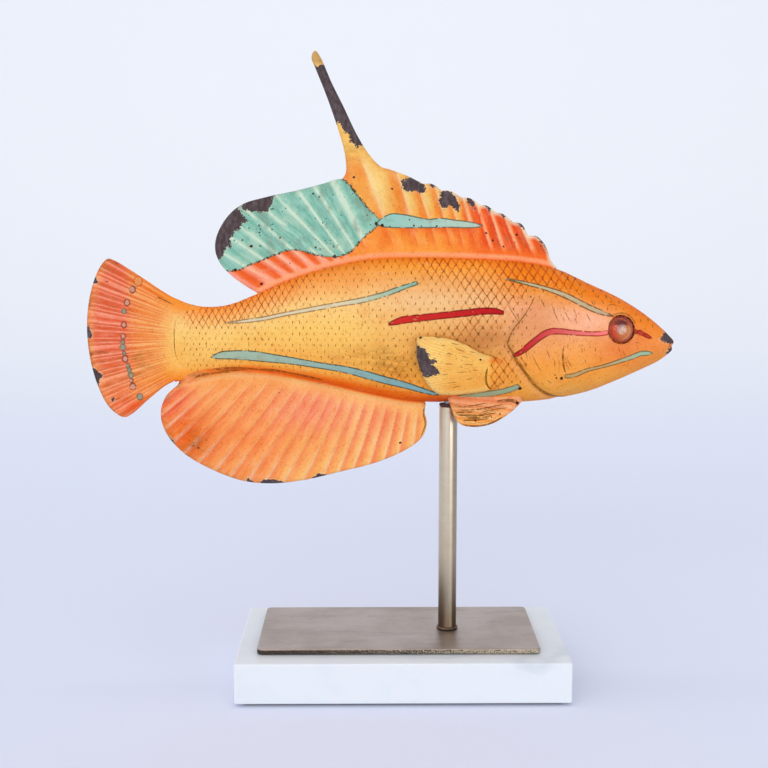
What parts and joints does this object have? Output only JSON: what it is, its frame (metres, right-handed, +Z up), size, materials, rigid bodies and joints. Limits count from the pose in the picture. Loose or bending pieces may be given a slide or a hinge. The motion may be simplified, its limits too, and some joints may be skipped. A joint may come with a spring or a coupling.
{
  "type": "fish sculpture on stand",
  "caption": "Painted fish sculpture in profile that swivels on a brass rod, over a brass plate and a rectangular marble slab.",
  "frame": {"origin": "centre of the underside of the pad, at the height of the surface that the stand rests on", "axes": "+X along the slab towards the fish's snout, +Y across the slab to the fish's left, +Z up along the rod; the rod and swivel axis is at x = 0.022, y = 0"},
  "size_m": [0.2734, 0.089, 0.2934],
  "materials": {
    "pad": "dark felt",
    "slab": "honed white marble with faint grey-blue veins",
    "plate": "aged satin brass, mottled",
    "rod": "satin champagne brass",
    "fastener": "turned steel",
    "body": "cast resin, hand painted orange and yellow with teal and red stripes, satin",
    "fins": "cast resin, hand painted coral and turquoise with chipped edges, satin",
    "pectoral": "cast resin, hand painted golden yellow with a chipped edge, satin",
    "eye_glass": "clear amber glass",
    "eye_copper": "coppery lacquer"
  },
  "bodies": {
    "stand": {"underside_pad": "pad", "marble_slab": "slab", "base_plate": "plate", "base_screw": "fastener", "base_washer": "fastener", "support_rod": "rod", "foot_collar": "plate", "mount_pin": "fastener"},
    "fish": {"belly_sleeve": "rod", "fish_body": "body", "dorsal_fin": "fins", "anal_fin": "fins", "tail_fin": "fins", "pectoral_fin_right": "pectoral", "pectoral_fin_left": "pectoral", "pelvic_fin_right": "fins", "pelvic_fin_left": "fins", "eye_glass_right": "eye_glass", "eye_glass_left": "eye_glass", "eye_disc_right": "eye_copper", "eye_disc_left": "eye_copper"}
  },
  "joints": [
    {"name": "fish_swivel", "type": "hinge", "parent": "stand", "child": "fish", "pos_m": [0.022, 0, 0.1304], "axis": [0, 0, 1], "continuous": true}
  ]
}
